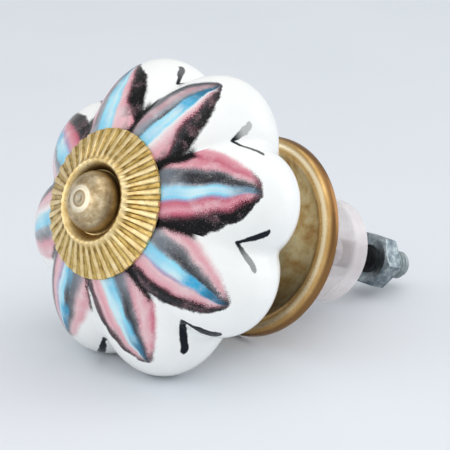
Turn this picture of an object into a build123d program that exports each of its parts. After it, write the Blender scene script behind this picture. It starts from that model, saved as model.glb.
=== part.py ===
from build123d import *
import math
import os

os.makedirs("parts", exist_ok=True)

# Melon cabinet knob as sold: a lobed ceramic head held on a stud between a fluted front rosette and a
# domed back plate, with a clear spacer sleeve and a hex nut on the stud behind.
# Millimetres. The knob's axis is Y with the front towards -Y, and +Z is up. The origin is the centre of
# the mounting plane, where the back plate's rim meets the furniture. Stations are distances ahead of
# that plane, so a station h lies at y = -h.

# Fits
thread_clearance = 0.05
bore_clearance = 0.6
hole_clearance = 0.3

# Stud and hex nut
stud_radius = 2.0
stud_reach = 30.8
stud_chamfer = 0.4
nut_across_flats = 7.0
nut_thickness = 3.2
nut_reach = 23.1
nut_face_share = 0.94
nut_turn = 0.0

# Back plate
plate_radius = 13.75
plate_sheet = 0.7
dome_height = 2.3
dome_flat_radius = 5.6
valley_radius = 10.5
valley_height = 1.05
bead_radius = 12.4
bead_height = 1.65
lip_height = 0.25

# Clear sleeve
sleeve_radius = 7.3
sleeve_reach = 14.9
sleeve_lead = 1.9
sleeve_round = 0.7

# Ceramic head
lobe_count = 8
crest_radius = 21.0
lobe_offset = 0.65
foot_lobe_offset = 0.3
crease_round = 0.06
widest = 19.1
front_height = 10.9
front_crown = 1.9
rear_reach = 13.2
fullness = 0.625
neck_radius = 5.2
neck_length = 2.6
neck_swell = 0.35
section_count = 18

# Front rosette, with its rises measured forward from the plane of its edge
rosette_radius = 9.75
rosette_sheet = 0.4
flank_top_radius = 5.85
flank_rise = 1.8
crown_radius = 5.45
crown_rise = 2.12
mouth_radius = 5.05
mouth_rise = 1.95
well_radius = 4.2
well_rise = 0.9
seat_width = 0.8
flute_count = 38
flute_inner_radius = 6.1
flute_outer_radius = 9.58
flute_inner_width = 0.52
flute_outer_width = 1.16
flute_depth = 0.25
flute_corner = 0.12

# Dome nut, with its rises measured from the same plane
dome_nut_radius = 4.05
dome_nut_waist = 1.4
dome_nut_bulge = 3.0
dome_nut_flat = 1.4
dimple_radius = 0.65
dimple_depth = 0.4
front_fall = 0.1
thread_rise = 3.0

# Sizes that follow from those above
foot_station = dome_height
front_reach = front_height + front_crown
head_front = widest + front_height
edge_station = head_front + rosette_sheet
well_station = edge_station + well_rise
stud_tail = -stud_reach
nut_front = -nut_reach
sleeve_tail = -sleeve_reach
through_length = 4 * (edge_station + stud_reach)
through_hole = stud_radius + hole_clearance
thread_hole = stud_radius + thread_clearance


def at(radius, station):
    """A point of a turned outline."""
    return (radius, -station)


def swept(start, end):
    """A smooth step between two points of an outline, level at both ends."""
    middle = (start[0] + end[0]) / 2
    return Bezier(start, (middle, start[1]), (middle, end[1]), end)


def rolled(start, end):
    """A round edge from a level start to an upright end."""
    run = end[0] - start[0]
    fall = end[1] - start[1]
    return Bezier(start, (start[0] + 0.55 * run, start[1]), (end[0], end[1] - 0.55 * fall), end)


def turned(outline):
    """Revolve a closed outline about the knob's axis."""
    return revolve(make_face(outline), axis=Axis.Y)


def bored(solid, radius):
    """Cut a round hole along the knob's axis through a solid."""
    return solid - Rotation(90, 0, 0) * Cylinder(radius, through_length)


def body_point(turn):
    """Point on the crest line of the head's body, by the angle turned forward from the widest section."""
    reach = front_reach if turn > 0 else rear_reach
    turn = math.radians(turn)
    return at(crest_radius * math.cos(turn) ** (2 * fullness), widest + reach * math.sin(turn))


def head_section(station, radius, offset):
    """Lobed cross-section: a ring of overlapping circles with rounded creases between them."""
    plane = Plane(origin=(0, -station, 0), x_dir=(1, 0, 0), z_dir=(0, -1, 0))
    with BuildSketch(plane) as section:
        Circle(max(offset, 0.5) * radius)
        with PolarLocations(offset * radius, lobe_count, start_angle=180 / lobe_count):
            Circle((1 - offset) * radius)
        fillet(section.vertices(), crease_round * radius)
    return section.sketch


# Ceramic head: a crest line from the round foot to the flat under the rosette, and a loft through the
# lobed sections strung evenly along it. The lobes die away towards the foot.
front_turn = math.degrees(math.asin(front_height / front_reach))
crest_line = Spline(
    at(neck_radius, foot_station),
    at(neck_radius + neck_swell, foot_station + neck_length),
    body_point(-60),
    body_point(-45),
    body_point(-30),
    body_point(-15),
    body_point(0),
    body_point(front_turn / 4),
    body_point(front_turn / 2),
    body_point(front_turn * 3 / 4),
    body_point(front_turn),
)
sections = []
for i in range(section_count + 1):
    crest = crest_line @ (i / section_count)
    lobing = min(1, (crest.X - neck_radius) / (0.5 * crest_radius))
    offset = foot_lobe_offset + (lobe_offset - foot_lobe_offset) * lobing * (2 - lobing)
    sections.append(head_section(-crest.Y, crest.X, offset))
ceramic_head = bored(loft(sections), stud_radius + bore_clearance)

# Front rosette: a pressed washer whose edge sits on the head. A rolled crown stands round a funnel that
# leads down to the nut's well, and the washer is hollow behind.
well_line = Polyline(
    at(through_hole, well_station),
    at(well_radius, well_station),
    at(mouth_radius, edge_station + mouth_rise),
)
crown_roll = ThreePointArc(
    at(mouth_radius, edge_station + mouth_rise),
    at(crown_radius, edge_station + crown_rise),
    at(flank_top_radius, edge_station + flank_rise),
)
rosette_rest = Polyline(
    at(flank_top_radius, edge_station + flank_rise),
    at(rosette_radius, edge_station),
    at(rosette_radius, head_front),
    at(rosette_radius - seat_width, head_front),
    at(crown_radius, edge_station + flank_rise - 1.3 * rosette_sheet),
    at(well_radius + 0.6 * rosette_sheet, well_station - rosette_sheet),
    at(through_hole, well_station - rosette_sheet),
    at(through_hole, well_station),
)
front_rosette = turned(well_line + crown_roll + rosette_rest)

# Flutes: shallow wedges pressed into the flank, which leave thin ribs between them and a whole rim outside.
flank_run = rosette_radius - flank_top_radius
flank_slope = math.atan2(flank_rise, flank_run)
flute_start = (flute_inner_radius - flank_top_radius) / math.cos(flank_slope)
flute_end = (flute_outer_radius - flank_top_radius) / math.cos(flank_slope)
flute_plane = Plane(
    origin=(flank_top_radius, -edge_station - flank_rise, 0),
    x_dir=(math.cos(flank_slope), math.sin(flank_slope), 0),
    z_dir=(math.sin(flank_slope), -math.cos(flank_slope), 0),
)
flute_outline = make_face(
    Polyline(
        (flute_start, -flute_inner_width / 2),
        (flute_end, -flute_outer_width / 2),
        (flute_end, flute_outer_width / 2),
        (flute_start, flute_inner_width / 2),
        (flute_start, -flute_inner_width / 2),
    )
)
flute_outline = fillet(flute_outline.vertices(), flute_corner)
cutter = extrude(flute_plane.offset(-flute_depth) * flute_outline, flute_depth + crown_rise)
flutes = [Rotation(0, 360 * i / flute_count, 0) * cutter for i in range(flute_count)]
front_rosette = front_rosette - flutes

# Dome nut: turned from bar, with a blind thread from the base and the lathe's centre left as a dimple.
waist = edge_station + dome_nut_waist
flat_turn = math.acos(dome_nut_flat / dome_nut_radius)
flat_station = waist + dome_nut_bulge * math.sin(flat_turn)
nut_front_line = Polyline(
    at(0, flat_station + front_fall - dimple_depth),
    at(dimple_radius, flat_station + front_fall),
    at(dome_nut_flat, flat_station),
)
nut_dome = ThreePointArc(
    at(dome_nut_flat, flat_station),
    at(dome_nut_radius * math.cos(flat_turn / 2), waist + dome_nut_bulge * math.sin(flat_turn / 2)),
    at(dome_nut_radius, waist),
)
nut_base_line = Polyline(
    at(dome_nut_radius, waist),
    at(dome_nut_radius, well_station),
    at(thread_hole, well_station),
    at(thread_hole, edge_station + thread_rise),
    at(0, edge_station + thread_rise),
    at(0, flat_station + front_fall - dimple_depth),
)
dome_nut = turned(nut_front_line + nut_dome + nut_base_line)

# Threaded stud: plain at its major diameter, with a small lead at each end, up to the dome nut's thread.
stud_front = edge_station + thread_rise - hole_clearance
threaded_stud = turned(
    Polyline(
        at(0, stud_front),
        at(stud_radius - stud_chamfer, stud_front),
        at(stud_radius, stud_front - stud_chamfer),
        at(stud_radius, stud_tail + stud_chamfer),
        at(stud_radius - stud_chamfer, stud_tail),
        at(0, stud_tail),
        at(0, stud_front),
    )
)

# Back plate: one pressed sheet, a low dome that sweeps through a valley into a bead and down to the furniture.
plate_flat = Line(at(through_hole, dome_height), at(dome_flat_radius, dome_height))
plate_sweep = swept(at(dome_flat_radius, dome_height), at(valley_radius, valley_height))
bead_rise = swept(at(valley_radius, valley_height), at(bead_radius, bead_height))
bead_roll = rolled(at(bead_radius, bead_height), at(plate_radius, lip_height))
rim_lip = Polyline(
    at(plate_radius, lip_height),
    at(plate_radius, 0),
    at(plate_radius - plate_sheet, 0),
    at(plate_radius - plate_sheet, lip_height),
)
under_roll = rolled(at(bead_radius, bead_height - plate_sheet), at(plate_radius - plate_sheet, lip_height))
under_rise = swept(at(valley_radius, valley_height - plate_sheet), at(bead_radius, bead_height - plate_sheet))
under_sweep = swept(at(dome_flat_radius, dome_height - plate_sheet), at(valley_radius, valley_height - plate_sheet))
under_flat = Polyline(
    at(dome_flat_radius, dome_height - plate_sheet),
    at(through_hole, dome_height - plate_sheet),
    at(through_hole, dome_height),
)
plate_outline = plate_flat + plate_sweep + bead_rise + bead_roll + rim_lip
plate_outline = plate_outline + under_roll + under_rise + under_sweep + under_flat
back_plate = turned(plate_outline)

# Clear sleeve: a thick tube whose leading edge is bevelled to reach the flat under the dome.
sleeve_front = dome_height - plate_sheet
clear_sleeve = turned(
    Polyline(
        at(through_hole, sleeve_front),
        at(sleeve_radius - sleeve_lead, sleeve_front),
        at(sleeve_radius, sleeve_front - sleeve_lead),
        at(sleeve_radius, sleeve_tail + sleeve_round),
        at(sleeve_radius - sleeve_round, sleeve_tail),
        at(through_hole, sleeve_tail),
        at(through_hole, sleeve_front),
    )
)

# Hex nut: a hexagon bar with its corners turned off at both ends.
corner_radius = nut_across_flats / 2 / math.cos(math.radians(30))
face_radius = nut_face_share * nut_across_flats / 2
corner_drop = (corner_radius - face_radius) * math.tan(math.radians(30))
nut_tail = nut_front - nut_thickness
nut_plane = Plane(origin=(0, -nut_front, 0), x_dir=(1, 0, 0), z_dir=(0, 1, 0))
hex_bar = extrude(nut_plane * RegularPolygon(corner_radius, 6, rotation=nut_turn), nut_thickness)
corner_turning = turned(
    Polyline(
        at(0, nut_front),
        at(face_radius, nut_front),
        at(corner_radius, nut_front - corner_drop),
        at(corner_radius, nut_tail + corner_drop),
        at(face_radius, nut_tail),
        at(0, nut_tail),
        at(0, nut_front),
    )
)
hex_nut = bored(hex_bar & corner_turning, thread_hole)

pieces = {
    "ceramic_head": ceramic_head,
    "front_rosette": front_rosette,
    "dome_nut": dome_nut,
    "threaded_stud": threaded_stud,
    "back_plate": back_plate,
    "clear_sleeve": clear_sleeve,
    "hex_nut": hex_nut,
}
for name, piece in pieces.items():
    export_step(piece, "parts/" + name + ".step")
    print(name, round(piece.volume, 1), "mm3", len(piece.solids()), "solid", piece.is_valid)
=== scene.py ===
# %% [markdown]
# # A painted ceramic cabinet knob
# The knob is a melon-shaped head of glazed ceramic, held on a long stud between a fluted brass rosette
# and a domed back plate, with a clear spacer sleeve and a hex nut behind. The solids come from the frame.
# This lesson gives them their finishes, presses the rosette, cuts the thread on the stud, and lays the
# knob on a table.

# %% Load the frame
import math

import bmesh
import bpy
from mathutils import Matrix, Vector


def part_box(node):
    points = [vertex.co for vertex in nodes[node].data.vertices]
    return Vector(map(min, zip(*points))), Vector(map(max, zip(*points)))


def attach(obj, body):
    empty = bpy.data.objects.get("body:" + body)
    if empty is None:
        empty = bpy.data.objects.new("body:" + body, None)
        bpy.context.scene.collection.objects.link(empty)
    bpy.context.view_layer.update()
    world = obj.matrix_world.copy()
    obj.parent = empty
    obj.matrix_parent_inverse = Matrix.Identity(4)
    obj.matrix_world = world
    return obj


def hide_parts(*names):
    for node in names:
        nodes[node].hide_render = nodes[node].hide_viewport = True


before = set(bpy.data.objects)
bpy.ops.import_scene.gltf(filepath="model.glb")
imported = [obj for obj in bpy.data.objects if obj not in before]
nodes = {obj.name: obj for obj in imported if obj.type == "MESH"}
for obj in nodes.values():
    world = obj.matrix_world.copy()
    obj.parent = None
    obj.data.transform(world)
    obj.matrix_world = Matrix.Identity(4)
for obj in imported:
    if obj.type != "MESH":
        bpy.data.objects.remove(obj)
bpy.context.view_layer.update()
mm = 0.001
print("pieces:", ", ".join(sorted(nodes)))

# %% [markdown]
# ## A short way to write finishes
# Every finish here is a tree of shader nodes. A tree written out link by link is hard to read, so one
# small class keeps a material and adds nodes to it in single lines. Patterns are measured in millimetres
# on the piece itself, with Object coordinates, so they stay on the piece from every side.

# %% The recipe: a material and its nodes
class Recipe:
    """A finish in the making."""

    def __init__(self, name):
        self.material = bpy.data.materials.new(name)
        self.material.use_nodes = True
        self.tree = self.material.node_tree
        self.shader = self.tree.nodes["Principled BSDF"]
        coordinates = self.tree.nodes.new("ShaderNodeTexCoord")
        in_millimetres = {"Vector": coordinates.outputs["Object"], "Scale": (1 / mm, 1 / mm, 1 / mm)}
        self.place = self.add("Mapping", {}, in_millimetres).outputs["Vector"]

    def put(self, socket, value):
        """Link another node's output to a socket, or set the socket to a number or colour."""
        if isinstance(value, bpy.types.NodeSocket):
            self.tree.links.new(value, socket)
        elif socket.type == "RGBA" and len(value) == 3:
            socket.default_value = (*value, 1.0)
        else:
            socket.default_value = value

    def add(self, kind, settings, sockets):
        """Add one node of a kind, with its settings and what goes into its sockets."""
        made = self.tree.nodes.new("ShaderNode" + kind)
        for name, value in settings.items():
            setattr(made, name, value)
        for name, value in sockets.items():
            self.put(made.inputs[name], value)
        return made

    def finish(self, **sockets):
        """Fill the shader's own sockets and hand over the material."""
        for name, value in sockets.items():
            self.put(self.shader.inputs[name.replace("_", " ")], value)
        return self.material


print("a recipe measures in millimetres:", 1 / mm, "to a metre")

# %% The recipe: sums
class Sums(Recipe):
    """A recipe that can also work out numbers."""

    def calc(self, operation, *values):
        return self.add("Math", {"operation": operation}, dict(enumerate(values))).outputs[0]

    def plus(self, first, second):
        return self.calc("ADD", first, second)

    def minus(self, first, second):
        return self.calc("SUBTRACT", first, second)

    def times(self, first, second):
        return self.calc("MULTIPLY", first, second)

    def over(self, first, second):
        return self.calc("DIVIDE", first, second)

    def clamp(self, value, low, high):
        return self.calc("MINIMUM", self.calc("MAXIMUM", value, low), high)

    def span(self, value, low, high, to_low=0.0, to_high=1.0):
        """Ease from one number to another while a value goes from low to high."""
        sockets = {"Value": value, "From Min": low, "From Max": high, "To Min": to_low, "To Max": to_high}
        return self.add("MapRange", {"interpolation_type": "SMOOTHSTEP"}, sockets).outputs["Result"]

    def split(self, vector):
        return self.add("SeparateXYZ", {}, {"Vector": vector}).outputs

    def join(self, **sides):
        return self.add("CombineXYZ", {}, sides).outputs["Vector"]

    def vector(self, operation, *values):
        return self.add("VectorMath", {"operation": operation}, dict(enumerate(values))).outputs

    def dot(self, first, second):
        return self.vector("DOT_PRODUCT", first, second)["Value"]

    def length(self, arrow):
        return self.vector("LENGTH", arrow)["Value"]


print("sums:", ", ".join(name for name in vars(Sums) if not name.startswith("_")))

# %% The recipe: patterns and colours
class Finish(Sums):
    """A recipe with patterns and colours."""

    def noise(self, where, scale, detail=3.0, roughness=0.55):
        sockets = {"Vector": where, "Scale": scale, "Detail": detail, "Roughness": roughness}
        return self.add("TexNoise", {}, sockets).outputs["Fac"]

    def ramp(self, value, stops, blend="LINEAR"):
        made = self.add("ValToRGB", {}, {"Fac": value})
        made.color_ramp.interpolation = blend
        points = made.color_ramp.elements
        points.remove(points[1])
        for number, (position, colour) in enumerate(stops):
            point = points.new(position) if number else points[0]
            point.position = position
            point.color = (*colour, 1.0) if len(colour) == 3 else colour
        return made.outputs

    def tones(self, value, stops):
        return self.ramp(value, stops)["Color"]

    def mix(self, share, first, second, blend="MIX"):
        """Mix two colours. Sockets 6 and 7 of the node take colours, and its output 2 gives one."""
        sockets = {0: share, 6: first, 7: second}
        return self.add("Mix", {"data_type": "RGBA", "blend_type": blend}, sockets).outputs[2]

    def bump(self, height, distance, strength):
        sockets = {"Height": height, "Distance": distance * mm, "Strength": strength}
        self.put(self.shader.inputs["Normal"], self.add("Bump", {}, sockets).outputs["Normal"])


def dress(node, material):
    """Give a solid of the frame its finish."""
    for slot in nodes[node].material_slots:
        slot.material = material
    print(node, "wears", material.name)


print("patterns:", ", ".join(name for name in vars(Finish) if not name.startswith("_")))

# %% [markdown]
# ## The table, the camera and the light
# The knob can't stand, so it lies on two lobes of its head and the rim of its back plate. In the knob's
# own frame that tilts the table. The tilt could be judged by eye, but the solids give it exactly: the
# table leans until the head and the plate reach equally low. The camera is a long lens a third of a metre
# away, so that the near side doesn't look swollen. The light is a soft tent: an even world all round and
# four large lamps, from above, the right, the front and the left, at a level where a colour shows about
# as it is written.

# %% Table: how the knob lies
resting = ("ceramic_head", "back_plate")
corners_of = {name: [corner.co.copy() for corner in nodes[name].data.vertices] for name in resting}


def lowest(name, up):
    """How low a piece reaches along the given upward direction."""
    return min(up.dot(corner) for corner in corners_of[name])


def leaning(tilt):
    """The upward direction of a table that leans towards the knob's front."""
    return Vector((0.0, -math.sin(tilt), math.cos(tilt)))


least_tilt = math.radians(10)
most_tilt = math.radians(30)
for halving in range(18):
    tilt = (least_tilt + most_tilt) / 2
    if lowest("ceramic_head", leaning(tilt)) < lowest("back_plate", leaning(tilt)):
        least_tilt = tilt
    else:
        most_tilt = tilt
table_up = leaning(tilt)
table_height = lowest("back_plate", table_up)
print("table tilted by", round(math.degrees(tilt), 2), "degrees, at", round(table_height / mm, 2), "mm")

# %% Table: the top
table_radius = 1.6
across = table_up.orthogonal().normalized()
turned = Matrix((across, table_up.cross(across), table_up)).transposed().to_4x4()
top = bmesh.new()
bmesh.ops.create_circle(top, cap_ends=True, segments=96, radius=table_radius)
bmesh.ops.transform(top, matrix=Matrix.Translation(table_up * table_height) @ turned, verts=top.verts)
table_mesh = bpy.data.meshes.new("table_top")
top.to_mesh(table_mesh)
top.free()
table = bpy.data.objects.new("table_top", table_mesh)
bpy.context.scene.collection.objects.link(table)
print("table:", 2 * table_radius, "m across")

# %% Table: a pale finish, with painted shade that darkens it a little towards the back
pale = Finish("pale_table")
to_far_side = (-0.68, 0.73, 0.3)
near_to_far = (-60.0, 200.0)
table_shade_tones = [(0.0, (0.77, 0.805, 0.85)), (0.3, (0.74, 0.775, 0.82)), (1.0, (0.69, 0.725, 0.775))]
cloud_tone = (0.75, 0.785, 0.83)
away = pale.dot(pale.place, to_far_side)
# Painted shade: the table darkens towards the back, as the light falls off there.
tone = pale.tones(pale.span(away, *near_to_far), table_shade_tones)
cloud = pale.noise(pale.place, 0.02, 2.0)
shade = pale.mix(pale.span(cloud, 0.3, 0.7, 0.0, 0.3), tone, cloud_tone)
table_mesh.materials.append(pale.finish(Base_Color=shade, Roughness=0.6))
print("table wears", pale.material.name)

# %% Camera
camera_data = bpy.data.cameras.new("camera")
camera_data.lens = 200
camera_data.sensor_width = 36
camera_data.clip_start = 0.01
camera_data.clip_end = 10
camera = bpy.data.objects.new("camera", camera_data)
bpy.context.scene.collection.objects.link(camera)
camera_place = Vector((0.22666, -0.25178, 0.02424))
to_right = Vector((0.690321, 0.667365, 0.279441))
to_top = Vector((-0.251790, -0.140490, 0.957530))
to_viewer = to_right.cross(to_top)
facing = Matrix((to_right, to_top, to_viewer)).transposed().to_4x4()
camera.matrix_world = Matrix.Translation(camera_place) @ facing
bpy.context.scene.camera = camera
print("camera", round(camera_place.length, 3), "m away")

# %% Lamps
lamp_distance = 0.7


def lamp(name, towards, size, power, colour):
    """A square soft lamp on the given side of the knob, facing it."""
    data = bpy.data.lights.new(name, "AREA")
    data.size = size
    data.energy = power
    data.color = colour
    made = bpy.data.objects.new(name, data)
    bpy.context.scene.collection.objects.link(made)
    direction = towards.normalized()
    made.rotation_euler = direction.to_track_quat("Z", "Y").to_euler()
    made.location = direction * lamp_distance
    print(name, power, "W")


lamp("top_softbox", table_up + 0.25 * to_right + 0.1 * to_viewer, 0.8, 1.7, (1.0, 0.99, 0.97))
lamp("right_softbox", 0.45 * table_up + to_right - 0.3 * to_viewer, 0.5, 1.35, (0.97, 0.985, 1.0))
lamp("front_softbox", 0.15 * table_up - 0.15 * to_right + to_viewer, 1.1, 1.0, (1.0, 1.0, 1.0))
lamp("left_softbox", 0.1 * table_up - to_right + 0.45 * to_viewer, 0.8, 1.7, (1.0, 0.99, 0.98))

# %% World
tent_colour = (0.795, 0.808, 0.825, 1.0)
tent_strength = 0.8
world = bpy.data.worlds.new("tent")
bpy.context.scene.world = world
world.use_nodes = True
tent = world.node_tree.nodes["Background"].inputs
tent["Color"].default_value = tent_colour
tent["Strength"].default_value = tent_strength
bpy.context.scene.view_settings.view_transform = "Standard"
print("tent strength", tent_strength)

# %% [markdown]
# ## Pressing the rosette
# The rosette is a washer of thin brass, pressed so that rounded flutes run from its crown to its rim. The
# solid has them as flat wedges, so a new piece takes its place here. One flute could be modelled and
# copied round, but the copies would have to be joined. Instead the front of the washer is spun from one
# outline, and every point of its flank is pushed back by a wave that repeats once a flute, as the press
# tool did. The plain back is spun after that and welded on.

# %% Spin the front of the washer
flute_count = 38
spin_steps = 12 * flute_count
washer_low, washer_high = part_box("front_rosette")
seat = washer_high.y
outer = (washer_high.x - washer_low.x) / 2 / mm


def spin_outline(shape, points):
    """Spin an outline of (radius, rise) points in millimetres once round the knob's axis."""
    corners = [shape.verts.new((radius * mm, seat - rise * mm, 0)) for radius, rise in points]
    edges = [shape.edges.new(pair) for pair in zip(corners, corners[1:])]
    bmesh.ops.spin(
        shape,
        geom=corners + edges,
        cent=(0, 0, 0),
        axis=(0, 1, 0),
        angle=2 * math.pi,
        steps=spin_steps,
        use_merge=True,
    )


hole = 2.3
floor_back = 0.9
floor_front = 1.3
well = [(hole, floor_back), (hole, floor_front), (4.2, floor_front), (5.05, 2.35)]
crown_radius = 5.45
crown = [(5.22, 2.47), (crown_radius, 2.52), (5.65, 2.42)]
flank_top = 5.85
flank_rise = 2.2
flank_drop = 1.8
flank_shares = (0.0, 0.08, 0.2, 0.4, 0.6, 0.8, 0.93, 1.0)
flank = [(flank_top + share * (outer - flank_top), flank_rise - share * flank_drop) for share in flank_shares]
washer = bmesh.new()
spin_outline(washer, well + crown + flank + [(outer, 0.0)])
print("front of the washer:", len(washer.faces), "faces")

# %% Press the flutes and weld the back on
flute_depth = 0.32
flute_start = 5.3
flute_run_in = 0.8
seat_gap = 0.05


def steepened(share):
    """A share from 0 to 1 that lingers at both ends, so that ribs and flutes get flat tops and floors."""
    return share**2 * (3 - 2 * share)


for point in washer.verts:
    radius = math.hypot(point.co.x, point.co.z) / mm
    if seat - point.co.y > seat_gap * mm:
        wave = 0.5 + 0.5 * math.cos(flute_count * math.atan2(point.co.z, point.co.x))
        run_in = min(max((radius - flute_start) / flute_run_in, 0.0), 1.0)
        run_out = min(1.0, 0.7 + (outer - radius) / 3)
        point.co.y += flute_depth * mm * run_in * run_out * steepened(steepened(wave))
edge_width = 0.8
spin_outline(
    washer,
    [(outer, 0.0), (outer - edge_width, 0.0), (crown_radius, 1.68), (4.44, floor_back), (hole, floor_back)],
)
bmesh.ops.remove_doubles(washer, verts=washer.verts, dist=0.005 * mm)
bmesh.ops.recalc_face_normals(washer, faces=washer.faces)
for face in washer.faces:
    face.smooth = True
print("pressed washer:", len(washer.faces), "faces")

# %% Make the washer a piece
sharp_angle = math.radians(38)


def add_piece(name, shape, node):
    """Turn a finished shape into a piece that stands in for a solid."""
    mesh = bpy.data.meshes.new(name)
    shape.to_mesh(mesh)
    shape.free()
    mesh.set_sharp_from_angle(angle=sharp_angle)
    made = bpy.data.objects.new(name, mesh)
    bpy.context.scene.collection.objects.link(made)
    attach(made, "root")
    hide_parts(node)
    print(name, "stands in for", node, "with", len(mesh.polygons), "faces")
    return mesh


washer_mesh = add_piece("pressed_rosette", washer, "front_rosette")

# %% [markdown]
# ## Brass of the rosette
# The brass has dulled to an olive gold. Hands keep the ribs and the crown bright, while brown grime stays
# in the flutes. Painted shade darkens the sides of the flutes, where it lies with grime, the inner ends of
# the flutes and the well, most at its top. The grime and the shade could be painted on by hand, but the
# same wave that pressed the flutes tells the finish where they are.

# %% Rosette: where the flutes are
def angle_round(recipe, sides):
    """The angle round the knob's axis."""
    return recipe.calc("ARCTAN2", sides["Z"], sides["X"])


def reach_out(recipe, sides):
    """The distance from the knob's axis."""
    return recipe.length(recipe.join(X=sides["X"], Y=sides["Z"]))


rosette = Finish("fluted_brass")
sides = rosette.split(rosette.place)
angle = angle_round(rosette, sides)
reach = reach_out(rosette, sides)
wave = rosette.calc("COSINE", rosette.times(angle, flute_count))
on_flank = rosette.span(reach, 5.5, 6.2)
in_flute = rosette.times(rosette.span(wave, -0.35, 0.45), on_flank)
from_side = rosette.calc("ABSOLUTE", rosette.minus(wave, 0.1))
flute_side = rosette.times(rosette.span(from_side, 0.55, 0.1), on_flank)
print("flutes:", flute_count)

# %% Rosette: gold on the ribs and in the flutes
rib_tones = [(0.3, (0.70, 0.49, 0.19)), (0.5, (0.90, 0.69, 0.34)), (0.7, (0.98, 0.81, 0.48))]
flute_tones = [(0.3, (0.25, 0.13, 0.03)), (0.45, (0.54, 0.37, 0.11)), (0.66, (0.80, 0.59, 0.23))]
stain = rosette.noise(rosette.place, 0.7, 5.0, 0.65)
drawn_out = rosette.join(X=rosette.times(angle, 7.5), Y=rosette.times(reach, 0.4))
speckle = rosette.noise(drawn_out, 1.7, 5.0, 0.68)
colour = rosette.mix(in_flute, rosette.tones(stain, rib_tones), rosette.tones(speckle, flute_tones))
print("rib tones:", len(rib_tones), "flute tones:", len(flute_tones))

# %% Rosette: grime and painted shade
side_shade_and_grime = (0.17, 0.09, 0.02)
end_shade = (0.24, 0.15, 0.05)
well_shade = (0.13, 0.085, 0.03)
spot_grime = (0.26, 0.15, 0.04)
# Painted shade and grime along the sides of the flutes.
shaded_and_grimy = rosette.times(flute_side, rosette.span(speckle, 0.3, 0.65, 0.9, 0.3))
colour = rosette.mix(shaded_and_grimy, colour, side_shade_and_grime)
# Painted shade at the inner ends of the flutes, under the crown.
inner_end = rosette.times(rosette.span(reach, 6.9, 6.1), in_flute)
colour = rosette.mix(rosette.times(inner_end, 0.5), colour, end_shade)
# Painted shade down in the well, heaviest at its top.
in_well = rosette.times(rosette.span(reach, 5.1, 4.4), rosette.span(sides["Z"], -4.0, 3.0, 0.2, 0.9))
colour = rosette.mix(in_well, colour, well_shade)
spots = rosette.span(rosette.noise(rosette.place, 1.3, 4.0, 0.7), 0.6, 0.68)
colour = rosette.mix(rosette.times(spots, 0.5), colour, spot_grime)
rosette.bump(speckle, 0.06, 0.7)
dull = rosette.span(stain, 0.2, 0.8, 0.42, 0.26)
washer_mesh.materials.append(rosette.finish(Base_Color=colour, Metallic=1.0, Roughness=dull))
print("rosette wears", rosette.material.name)

# %% [markdown]
# ## The dome nut
# The nut in the middle is turned from bar. The ring round its centre mark is painted bright and its round
# sides darker grey brown, as painted light and shade; painted shade also darkens the centre mark and the
# foot of the sides. The sides carry fine turning lines and scratches. Turning lines come from noise that is
# read almost only along the axis and the radius, so every line runs right round the nut.

# %% Dome nut: its round sides
nut = Finish("worn_turned_brass")
shaded_side_tones = [(0.34, (0.24, 0.15, 0.07)), (0.5, (0.50, 0.37, 0.20)), (0.66, (0.80, 0.66, 0.43))]
line_tone = (0.66, 0.57, 0.42)
foot_shade = (0.13, 0.085, 0.04)
sides = nut.split(nut.place)
reach = reach_out(nut, sides)
slow_angle = nut.times(angle_round(nut, sides), 0.06)
lines = nut.noise(nut.join(X=reach, Y=sides["Y"], Z=slow_angle), 7.0, 3.0, 0.75)
patches = nut.noise(nut.place, 0.5, 5.0, 0.65)
side = nut.mix(nut.span(lines, 0.4, 0.7, 0.0, 0.35), nut.tones(patches, shaded_side_tones), line_tone)
# Painted shade darkens the sides towards their foot by the well.
side = nut.mix(nut.span(reach, 3.2, 4.0, 0.0, 0.75), side, foot_shade)
print("side tones:", len(shaded_side_tones))

# %% Dome nut: its front and the centre mark
front_dull = (0.74, 0.65, 0.48)
front_bright = (0.92, 0.84, 0.67)
mark_shade_brown = (0.30, 0.22, 0.12)
front = nut.mix(nut.span(lines, 0.4, 0.65), front_dull, front_bright)
# Painted shade in the centre mark, darkest at its rim.
mark = nut.times(nut.span(reach, 1.2, 1.0), nut.span(reach, 0.5, 0.95, 0.45, 0.9))
front = nut.mix(mark, front, mark_shade_brown)
# Painted light and shade: the front is painted lighter than the round sides.
colour = nut.mix(nut.span(reach, 1.6, 1.95), front, side)
nut.bump(lines, 0.02, 0.5)
dull = nut.span(patches, 0.3, 0.7, 0.44, 0.28)
dress("dome_nut", nut.finish(Base_Color=colour, Metallic=1.0, Roughness=dull))

# %% [markdown]
# ## Patina of the back plate
# The plate is brass too, but dull: olive and brown blotches on its dome, cleaner gold on the bead with a
# painted highlight along its crest, and a dark brown edge. Painted shade darkens the dome and the bead
# towards the bottom. A plain noise would blotch it all alike, so the distance from the axis tells dome, bead
# and edge apart.

# %% Back plate: the dome
plate = Finish("blotched_brass")
patina_tones = [
    (0.3, (0.36, 0.18, 0.06)),
    (0.44, (0.46, 0.33, 0.15)),
    (0.58, (0.58, 0.48, 0.28)),
    (0.7, (0.42, 0.40, 0.25)),
]
low_shade_brown = (0.10, 0.055, 0.014)
sides = plate.split(plate.place)
reach = reach_out(plate, sides)
blotch = plate.noise(plate.place, 0.4, 5.0, 0.6)
# Painted shade: the plate darkens towards its bottom.
shade_below = plate.span(sides["Z"], 3.0, -10.0)
patina = plate.mix(plate.times(shade_below, 0.92), plate.tones(blotch, patina_tones), low_shade_brown)
print("patina tones:", len(patina_tones))

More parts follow.
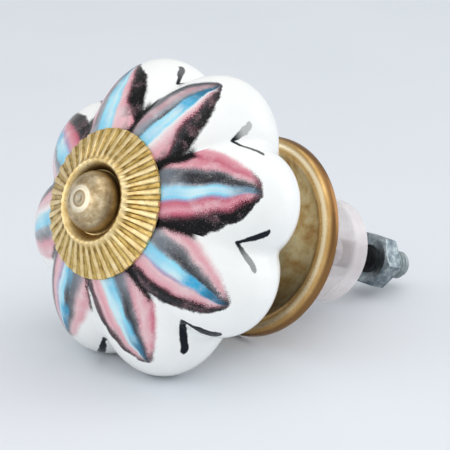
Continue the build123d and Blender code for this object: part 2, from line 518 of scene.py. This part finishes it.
# %% Back plate: the bead and the edge
bead_dull = (0.56, 0.34, 0.12)
bead_clean = (0.70, 0.47, 0.20)
crest_highlight_gold = (0.99, 0.86, 0.60)
bead_shade_brown = (0.40, 0.22, 0.08)
edge_brown = (0.25, 0.13, 0.05)
bead = plate.mix(plate.span(blotch, 0.35, 0.65), bead_dull, bead_clean)
# A painted highlight along the crest of the bead.
crest = plate.times(plate.span(reach, 12.15, 12.55), plate.span(reach, 13.15, 12.75))
bead = plate.mix(plate.times(crest, 0.85), bead, crest_highlight_gold)
# Painted shade darkens the bead towards the bottom too.
bead = plate.mix(plate.times(shade_below, 0.5), bead, bead_shade_brown)
colour = plate.mix(plate.span(reach, 11.3, 11.9), patina, bead)
colour = plate.mix(plate.span(reach, 13.25, 13.6), colour, edge_brown)
pitting = plate.times(plate.noise(plate.place, 2.5, 4.0), plate.span(reach, 11.6, 10.8))
plate.bump(pitting, 0.04, 0.3)
dull = plate.times(plate.span(blotch, 0.3, 0.75, 0.48, 0.34), plate.span(reach, 11.3, 12.0, 1.0, 0.65))
dress("back_plate", plate.finish(Base_Color=colour, Metallic=1.0, Roughness=dull))

# %% [markdown]
# ## The clear sleeve
# The spacer is cut from a thick clear plastic tube with a faint pink tint and a little haze. Glass would
# bend the light too much and look dark, so the plastic has a low index, and part of it is simply
# see-through. Its cut end is frosted: there less light goes through.

# %% Clear plastic
clear = Finish("pink_clear_plastic")
haze_tones = [(0.3, (0.97, 0.90, 0.92)), (0.7, (1.0, 0.96, 0.97))]
frosted_end = (10.2, 12.2)
haze = clear.noise(clear.place, 0.5, 3.0)
tint = clear.tones(haze, haze_tones)
smooth = clear.span(haze, 0.3, 0.7, 0.04, 0.16)
back = clear.split(clear.place)["Y"]
through = clear.span(back, *frosted_end, 0.7, 0.25)
solid = clear.span(back, *frosted_end, 0.58, 0.72)
clear.finish(Base_Color=tint, Roughness=smooth, Transmission_Weight=through, IOR=1.3, Alpha=solid)
dress("clear_sleeve", clear.material)

# %% [markdown]
# ## Zinc of the nut
# The hex nut is plain steel with a bluish zinc coat, mottled where the coat has dulled. Fine bumps break
# up its reflections, as the rough coat does.

# %% Zinc
zinc = Finish("dull_zinc")
zinc_tones = [(0.3, (0.10, 0.135, 0.16)), (0.5, (0.21, 0.25, 0.275)), (0.7, (0.42, 0.475, 0.475))]
mottle = zinc.noise(zinc.place, 1.0, 4.0, 0.6)
tone = zinc.tones(mottle, zinc_tones)
zinc.bump(zinc.noise(zinc.place, 5.0, 3.0), 0.04, 0.5)
dull = zinc.span(mottle, 0.3, 0.7, 0.5, 0.32)
dress("hex_nut", zinc.finish(Base_Color=tone, Metallic=1.0, Roughness=dull))

# %% [markdown]
# ## The thread on the stud
# The stud is a long screw with a fine thread. The solid is a plain rod at the thread's outer diameter,
# so here a new piece takes its place. One tooth of the thread is drawn beside the axis and spun round it,
# climbing a little at each step, which winds the tooth into a helix. Two cuts square off the ends.

# %% Wind the thread
rod_low, rod_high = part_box("threaded_stud")
rod_radius = (rod_high.x - rod_low.x) / 2
pitch = 0.7 * mm
thread_depth = 0.38 * mm
root = rod_radius - thread_depth
steps_a_turn = 20
spare_turns = 3
turns = math.ceil((rod_high.y - rod_low.y) / pitch) + spare_turns
start = rod_low.y - spare_turns / 2 * pitch
tooth = [(root, 0.0), (root, 0.12), (rod_radius, 0.34), (rod_radius, 0.46), (root, 0.7)]
screw = bmesh.new()
corners = [screw.verts.new((out, start + along * mm, 0.0)) for out, along in tooth]
edges = [screw.edges.new(pair) for pair in zip(corners, corners[1:])]
bmesh.ops.spin(
    screw,
    geom=corners + edges,
    cent=(0, 0, 0),
    axis=(0, 1, 0),
    dvec=(0, pitch / steps_a_turn, 0),
    angle=2 * math.pi * turns,
    steps=steps_a_turn * turns,
)
bmesh.ops.remove_doubles(screw, verts=screw.verts, dist=0.01 * mm)
print("thread:", turns, "turns,", len(screw.faces), "faces")

# %% Square the ends and chamfer them
for level, outward in ((rod_low.y, -1), (rod_high.y, 1)):
    cut = bmesh.ops.bisect_plane(
        screw,
        geom=screw.verts[:] + screw.edges[:] + screw.faces[:],
        plane_co=(0, level, 0),
        plane_no=(0, outward, 0),
        clear_outer=True,
    )
    rim = [part for part in cut["geom_cut"] if isinstance(part, bmesh.types.BMEdge)]
    bmesh.ops.edgeloop_fill(screw, edges=rim)
lead = 0.4 * mm
for corner in screw.verts:
    to_end = min(corner.co.y - rod_low.y, rod_high.y - corner.co.y)
    limit = rod_radius - lead + min(to_end, lead)
    radius = math.hypot(corner.co.x, corner.co.z)
    if radius > limit:
        corner.co.x *= limit / radius
        corner.co.z *= limit / radius
bmesh.ops.recalc_face_normals(screw, faces=screw.faces)
screw_mesh = add_piece("stud_thread", screw, "threaded_stud")

# %% Steel, dark with oil and painted shade up to the nut
steel = Finish("oil_and_shade_steel")
bare_tones = [(0.3, (0.22, 0.27, 0.29)), (0.7, (0.55, 0.60, 0.60))]
oil_and_shade_tones = [(0.3, (0.010, 0.010, 0.011)), (0.7, (0.045, 0.045, 0.048))]
dark_ends = (22.5, 25.5)
smear = steel.noise(steel.place, 0.8, 4.0, 0.6)
# Oil and painted shade darken the stud up to the nut; past it the steel is bare.
past_dark = steel.span(steel.split(steel.place)["Y"], *dark_ends)
colour = steel.mix(past_dark, steel.tones(smear, oil_and_shade_tones), steel.tones(smear, bare_tones))
dull = steel.span(smear, 0.3, 0.7, 0.35, 0.55)
screw_mesh.materials.append(steel.finish(Base_Color=colour, Metallic=1.0, Roughness=dull))
print("stud wears", steel.material.name)

# %% [markdown]
# ## Painted glaze
# The head is cast in white clay, painted by hand and glazed. Each of its eight lobes carries a petal that
# starts under the rosette and runs to a tip, and its colours spread from that tip like a fan: pink, a grey
# band, a pale blue stripe, rose, and a black edge. Between the petals a short black V marks each crease.
# A painter would work with brushes on the surface. Here the pattern is worked out in the shader instead,
# because a few numbers for each petal then give crisp edges at any distance.

# %% Paint box
def seen(*levels):
    """A colour as it looks on a screen, from 0 to 255, turned into the light values that shaders use."""
    shares = [level / 255 for level in levels]
    return tuple(share / 12.92 if share < 0.04 else ((share + 0.055) / 1.055) ** 2.4 for share in shares)


paints = {
    "black": seen(9, 8, 10),
    "charcoal": seen(50, 50, 54),
    "grey": seen(112, 116, 121),
    "mist": seen(160, 167, 176),
    "sky": seen(146, 224, 246),
    "ice": seen(204, 238, 245),
    "lilac": seen(176, 158, 192),
    "blush": seen(234, 195, 199),
    "pink": seen(226, 160, 171),
    "rose": seen(202, 104, 124),
    "plum": seen(92, 52, 62),
    "milk": seen(240, 238, 238),
    "dusk": seen(192, 156, 163),
    "washed blue": seen(122, 202, 236),
    "washed grey": seen(140, 148, 158),
    "deep blue": seen(66, 176, 220),
    "navy": seen(38, 86, 118),
    "ink": seen(9, 17, 28),
}
print("paints:", ", ".join(paints))

# %% Where a point lies on the head
glaze = Finish("painted_glaze")
widest_station = 19.1
front_reach = 12.8
lobe_count = 8
lobe_angle = 360.0 / lobe_count
sides = glaze.split(glaze.place)
ahead = glaze.over(glaze.minus(glaze.times(sides["Y"], -1.0), widest_station), front_reach)
turn = glaze.calc("DEGREES", glaze.calc("ARCSINE", glaze.clamp(ahead, -1.0, 1.0)))
round_angle = glaze.calc("DEGREES", glaze.calc("ARCTAN2", sides["X"], sides["Z"]))
round_angle = glaze.calc("FLOORED_MODULO", round_angle, 360.0)
lobe = glaze.calc("FLOOR", glaze.over(round_angle, lobe_angle))
lobe_centre = glaze.times(glaze.plus(lobe, 0.5), lobe_angle)
print("lobes:", lobe_count, "of", lobe_angle, "degrees")

# %% Wobble of the brush and powder of the paint
def either_way(scale, detail, roughness, amount):
    """Noise on the head as a shift in degrees to either side."""
    noise = glaze.noise(glaze.place, scale, detail, roughness)
    return glaze.times(glaze.minus(noise, 0.5), 2.0 * amount)


even_noise = 0.55
wobble = either_way(0.3, 1.0, even_noise, 2.4)
powder = either_way(8.0, 2.0, 0.7, 4.2)
tremor = glaze.plus(glaze.times(powder, 0.3), either_way(0.9, 2.0, even_noise, 2.2))
clean_angle = glaze.plus(round_angle, wobble)
brush_angle = glaze.plus(clean_angle, powder)
brush_turn = glaze.plus(turn, either_way(0.4, 1.0, even_noise, 1.6))
steady_off = glaze.minus(clean_angle, lobe_centre)
clean_off = glaze.plus(steady_off, tremor)
print("brush:", len(glaze.tree.nodes), "nodes so far")

# %% A table of numbers, one row for each petal
def table_of(rows, number, scale):
    """Look up a row of two to four numbers by its place in the list, with a stepped colour ramp."""
    width = len(rows[0])
    filler = (0.0,) * (4 - width)
    stops = []
    for place, row in enumerate(rows):
        stops.append((place / len(rows), tuple(0.5 + value / scale for value in row + filler)))
    share = glaze.over(glaze.plus(number, 0.5), float(len(rows)))
    found = glaze.ramp(share, stops, "CONSTANT")
    columns = glaze.add("SeparateColor", {}, {"Color": found["Color"]}).outputs
    cells = [columns[0], columns[1], columns[2], found["Alpha"]]
    return [glaze.times(glaze.minus(cell, 0.5), scale) for cell in cells[:width]]


# Each row: angle and turn of the tip, then the left and right edge of the fan, in degrees.
petal_ends = [
    (-2.0, 16.0, -50.0, 36.0),
    (1.0, 14.0, -57.0, 45.0),
    (-0.5, 15.0, -37.0, 36.0),
    (-3.0, 16.5, -43.0, 32.0),
    (-2.5, 15.0, -31.0, 34.0),
    (0.5, 14.5, -40.0, 36.0),
    (-1.0, 16.0, -42.0, 38.0),
    (-4.0, 15.0, -44.0, 39.0),
]
# Each row: share of deep blue in the stripe, and how far the black edge draws back near the rosette.
petal_moods = [
    (0.9, 10.0),
    (0.2, 0.0),
    (1.0, -2.0),
    (0.5, 0.0),
    (0.7, 0.0),
    (0.4, 4.0),
    (0.9, 2.0),
    (0.3, 12.0),
]
petal_scale = 128.0
tip_angle, tip_turn, left_edge, right_edge = table_of(petal_ends, lobe, petal_scale)
blue_share, late_black = table_of(petal_moods, lobe, petal_scale)
print("petals:", len(petal_ends))

# %% The fan of a petal
fan_length = 41.5
at_tip = 0.004
past_tip = glaze.minus(brush_turn, tip_turn)
along = glaze.calc("MAXIMUM", glaze.over(past_tip, fan_length), at_tip)
steady_fan = glaze.over(glaze.minus(steady_off, tip_angle), along)
scatter = glaze.times(powder, glaze.span(glaze.calc("ABSOLUTE", steady_fan), 4.0, 14.0, 0.25, 1.0))
fan = glaze.plus(steady_fan, glaze.over(scatter, along))
clean_fan = glaze.over(glaze.minus(clean_off, tip_angle), along)
late = glaze.times(glaze.span(brush_turn, 42.0, 50.0), glaze.span(fan, 8.0, 26.0))
fan_painted = glaze.minus(fan, glaze.times(late_black, late))
print("fan length:", fan_length, "degrees")

# %% The colours of the eight fans
fans = [
    [
        (-60, "mist"), (-40, "charcoal"), (-27, "grey"), (-22, "dusk"), (-15, "dusk"), (-11, "mist"),
        (-9, "grey"), (-7, "charcoal"), (-5.5, "sky"), (0, "ice"), (4, "sky"), (6, "milk"), (10, "blush"),
        (12.5, "pink"), (15, "plum"), (18.5, "charcoal"), (26, "black"), (40, "black"),
    ],
    [
        (-60, "blush"), (-48, "pink"), (-32, "rose"), (-22, "pink"), (-18, "grey"), (-15, "charcoal"),
        (-8.5, "charcoal"), (-6, "mist"), (-4.8, "sky"), (-3.2, "ice"), (1.2, "ice"), (2.8, "sky"),
        (4.5, "lilac"), (7, "rose"), (12, "pink"), (15, "rose"), (18.5, "plum"), (22, "black"), (50, "black"),
    ],
    [
        (-45, "blush"), (-34, "blush"), (-26, "pink"), (-20, "blush"), (-16, "grey"), (-9, "charcoal"),
        (-7, "grey"), (-5, "sky"), (2, "ice"), (4.5, "lilac"), (7, "blush"), (15, "pink"), (17, "plum"),
        (20, "black"), (27, "charcoal"), (36, "black"),
    ],
    [
        (-50, "pink"), (-38, "rose"), (-30, "pink"), (-22, "blush"), (-17, "pink"), (-14, "grey"),
        (-8, "charcoal"), (-5, "grey"), (-3, "sky"), (3, "ice"), (7, "ice"), (9, "blush"), (13, "pink"),
        (19, "blush"), (22.5, "plum"), (27, "charcoal"), (33, "black"),
    ],
    [
        (-40, "rose"), (-28, "pink"), (-18, "blush"), (-12, "grey"), (-4, "charcoal"), (-1, "grey"),
        (1, "sky"), (6, "ice"), (8, "lilac"), (14, "blush"), (19, "pink"), (22, "charcoal"), (30, "black"),
    ],
    [
        (-45, "pink"), (-30, "blush"), (-20, "pink"), (-14, "grey"), (-8, "mist"), (-5, "sky"), (3, "ice"),
        (6, "milk"), (11, "blush"), (18, "pink"), (21, "plum"), (24, "black"), (40, "black"),
    ],
    [
        (-45, "blush"), (-32, "pink"), (-20, "blush"), (-14, "mist"), (-10, "grey"), (-7, "sky"), (2, "ice"),
        (5, "lilac"), (10, "pink"), (16, "rose"), (19, "charcoal"), (24, "black"), (40, "black"),
    ],
    [
        (-50, "pink"), (-34, "blush"), (-20, "pink"), (-13, "grey"), (-6, "mist"), (-3.5, "sky"), (4, "ice"),
        (8, "sky"), (10, "blush"), (15, "pink"), (18, "plum"), (21, "black"), (42, "black"),
    ],
]
fan_reach = 64.0
fan_share = glaze.over(glaze.plus(fan_painted, fan_reach), 2.0 * fan_reach)
petal_colour = None
for number, stops in enumerate(fans):
    places = [((place + fan_reach) / (2 * fan_reach), paints[name]) for place, name in stops]
    made = glaze.tones(fan_share, places)
    if number:
        made = glaze.mix(glaze.calc("GREATER_THAN", lobe, number - 0.5), petal_colour, made)
    petal_colour = made
print("fans:", len(fans))

# %% Changes along a petal
def between(value, low, high, soft):
    """1 inside a range and 0 outside, with soft ends."""
    return glaze.times(glaze.span(value, low - soft, low + soft), glaze.span(value, high + soft, high - soft))


stripe = between(fan, -7.0, 4.0, 2.0)
grey_band = between(fan, -19.0, -6.0, 3.0)
washed = glaze.times(glaze.span(brush_turn, 44.0, 54.0), 0.6)
petal_colour = glaze.mix(glaze.times(stripe, washed), petal_colour, paints["washed blue"])
petal_colour = glaze.mix(glaze.times(grey_band, washed), petal_colour, paints["washed grey"])
low_stripe = glaze.times(glaze.span(brush_turn, 43.0, 36.0), stripe)
petal_colour = glaze.mix(glaze.times(low_stripe, blue_share), petal_colour, paints["deep blue"])
stripe_end = glaze.times(glaze.span(along, 0.48, 0.22), stripe)
petal_colour = glaze.mix(glaze.times(stripe_end, 0.8), petal_colour, paints["navy"])
petal_tip = glaze.span(along, 0.2, 0.06)
petal_colour = glaze.mix(glaze.times(petal_tip, 0.8), petal_colour, paints["charcoal"])
print("petals:", len(glaze.tree.nodes), "nodes so far")

# %% Smudges, brush streaks, thin paint and dust
patchy = glaze.noise(glaze.place, 0.5, 3.0, 0.6)
smudge = glaze.times(between(fan, 17.0, 34.0, 5.0), glaze.span(patchy, 0.47, 0.64, 0.0, 0.7))
petal_colour = glaze.mix(smudge, petal_colour, paints["plum"])
lengthwise = glaze.join(X=glaze.times(fan, 0.3), Y=glaze.times(turn, 0.05), Z=lobe)
streak_tones = [(0.3, (0.87, 0.87, 0.88)), (0.65, (1.0, 1.0, 1.0))]
streaks = glaze.tones(glaze.noise(lengthwise, 1.0, 3.0), streak_tones)
petal_colour = glaze.mix(0.9, petal_colour, streaks, "MULTIPLY")
lightness = glaze.add("RGBToBW", {}, {"Color": petal_colour}).outputs["Val"]
thin = glaze.times(glaze.span(patchy, 0.45, 0.7), glaze.span(lightness, 0.06, 0.35, 0.08, 0.5))
petal_colour = glaze.mix(thin, petal_colour, glaze.mix(0.5, petal_colour, paints["milk"]))
grain = glaze.noise(glaze.place, 7.0, 2.0, 0.6)
dust = glaze.times(glaze.span(grain, 0.56, 0.76), glaze.span(patchy, 0.4, 0.62, 0.1, 0.5))
petal_colour = glaze.mix(dust, petal_colour, paints["milk"])
print("worn petals:", len(glaze.tree.nodes), "nodes so far")

# %% Where paint covers the clay
clay_tones = [(0.3, seen(243, 245, 243)), (0.7, seen(248, 249, 247))]
soft = glaze.plus(2.0, glaze.over(0.35, along))
softer = glaze.times(soft, 2.4)
past_left = glaze.span(fan, glaze.minus(left_edge, softer), glaze.plus(left_edge, softer))
before_right = glaze.span(clean_fan, glaze.plus(right_edge, soft), glaze.minus(right_edge, soft))
cover = glaze.times(glaze.times(past_left, before_right), glaze.span(past_tip, 0.0, 1.5))
waves = glaze.noise(glaze.place, 0.25, 2.0)
painted = glaze.mix(cover, glaze.tones(waves, clay_tones), petal_colour)
print("painted clay:", len(glaze.tree.nodes), "nodes so far")

# %% Dark seams between petals
# Each row: angle and turn of the top of a V mark, and the width of the seam, in degrees.
creases = [
    (-1.0, 18.5, 3.4),
    (-1.0, 18.5, 4.6),
    (-1.8, 17.5, 3.8),
    (-4.8, 22.5, 2.6),
    (1.5, 17.5, 1.3),
    (-1.0, 19.0, 2.4),
    (0.5, 17.0, 3.0),
    (-1.5, 20.0, 3.2),
]
mark_scale = 64.0
crease = glaze.calc("FLOOR", glaze.over(glaze.plus(round_angle, lobe_angle / 2), lobe_angle))
crease_angle = glaze.times(crease, lobe_angle)
crease_number = glaze.calc("FLOORED_MODULO", crease, float(lobe_count))
top_angle, top_turn, seam_width = table_of(creases, crease_number, mark_scale)
# Near the rosette the seams widen into painted shadow under the rosette's edge, over the black paint.
seam_width = glaze.times(seam_width, glaze.span(brush_turn, 50.0, 58.0, 1.0, 1.9))
from_seam = glaze.calc("ABSOLUTE", glaze.minus(glaze.minus(brush_angle, crease_angle), 0.5))
seam = glaze.span(glaze.over(from_seam, seam_width), 1.0, 0.35)
seam = glaze.times(seam, glaze.span(brush_turn, 35.0, 39.0))
painted = glaze.mix(seam, painted, paints["black"])
print("seams:", len(creases))

# %% V marks: which arm is near
# Two rows for each mark, its left and its right arm: angle and turn from the top of the V to the arm's
# end in degrees, how much ink is left at the end, and half the stroke's width in millimetres.
mark_arms = [
    (-6.0, -9.5, 0.85, 0.42),
    (7.0, -10.0, 0.9, 0.36),
    (-4.6, -9.0, 0.45, 0.5),
    (8.0, -10.5, 0.9, 0.3),
    (-5.8, -11.5, 1.0, 0.46),
    (8.0, -10.5, 0.65, 0.46),
    (-3.4, -16.5, 1.0, 0.76),
    (11.0, -14.0, 1.0, 0.56),
    (-7.0, -11.0, 0.95, 0.4),
    (8.0, -14.0, 1.0, 0.5),
    (-6.5, -12.0, 1.0, 0.5),
    (6.5, -10.0, 0.7, 0.4),
    (-7.0, -10.0, 0.7, 0.55),
    (6.0, -12.0, 1.0, 0.4),
    (-6.0, -12.5, 1.0, 0.45),
    (7.5, -11.0, 0.95, 0.42),
]
mark_angle = glaze.plus(round_angle, either_way(1.2, 2.0, even_noise, 1.0))
from_top = glaze.minus(glaze.minus(mark_angle, crease_angle), top_angle)
arm = glaze.plus(glaze.times(crease_number, 2.0), glaze.calc("GREATER_THAN", from_top, 0.0))
arm_angle, arm_turn, arm_ink, arm_width = table_of(mark_arms, arm, mark_scale)
print("arms:", len(mark_arms))

# %% V marks: the strokes
mm_by_angle = 0.33
mm_by_turn = 0.24
ink_edge = 0.1


def on_surface(angle, rise):
    """Angles on the head as millimetres on its surface."""
    return glaze.join(X=glaze.times(angle, mm_by_angle), Y=glaze.times(rise, mm_by_turn))


here = on_surface(from_top, glaze.minus(turn, top_turn))
stroke = on_surface(arm_angle, arm_turn)
run = glaze.clamp(glaze.over(glaze.dot(here, stroke), glaze.dot(stroke, stroke)), 0.0, 1.0)
on_line = glaze.add("VectorMath", {"operation": "SCALE"}, {0: stroke, "Scale": run}).outputs["Vector"]
aside = glaze.length(glaze.vector("SUBTRACT", here, on_line)["Vector"])
half_width = glaze.times(arm_width, glaze.span(run, 0.0, 0.75, 0.6, 1.05))
ink = glaze.span(aside, glaze.plus(half_width, ink_edge), glaze.minus(half_width, ink_edge))
dry = glaze.times(glaze.minus(1.0, arm_ink), glaze.span(run, 0.1, 0.7))
ink = glaze.times(ink, glaze.minus(1.0, dry))
painted = glaze.mix(ink, painted, paints["ink"])
print("marks:", len(creases))

# %% Glaze over the paint
glaze.bump(glaze.noise(glaze.place, 0.6, 2.0), 0.05, 0.35)
gloss = glaze.span(waves, 0.3, 0.7, 0.07, 0.14)
glaze.finish(Base_Color=painted, Roughness=gloss, IOR=1.45, Specular_IOR_Level=0.2)
dress("ceramic_head", glaze.material)

# %% [markdown]
# The dressed model must stay inside the box of the frame.
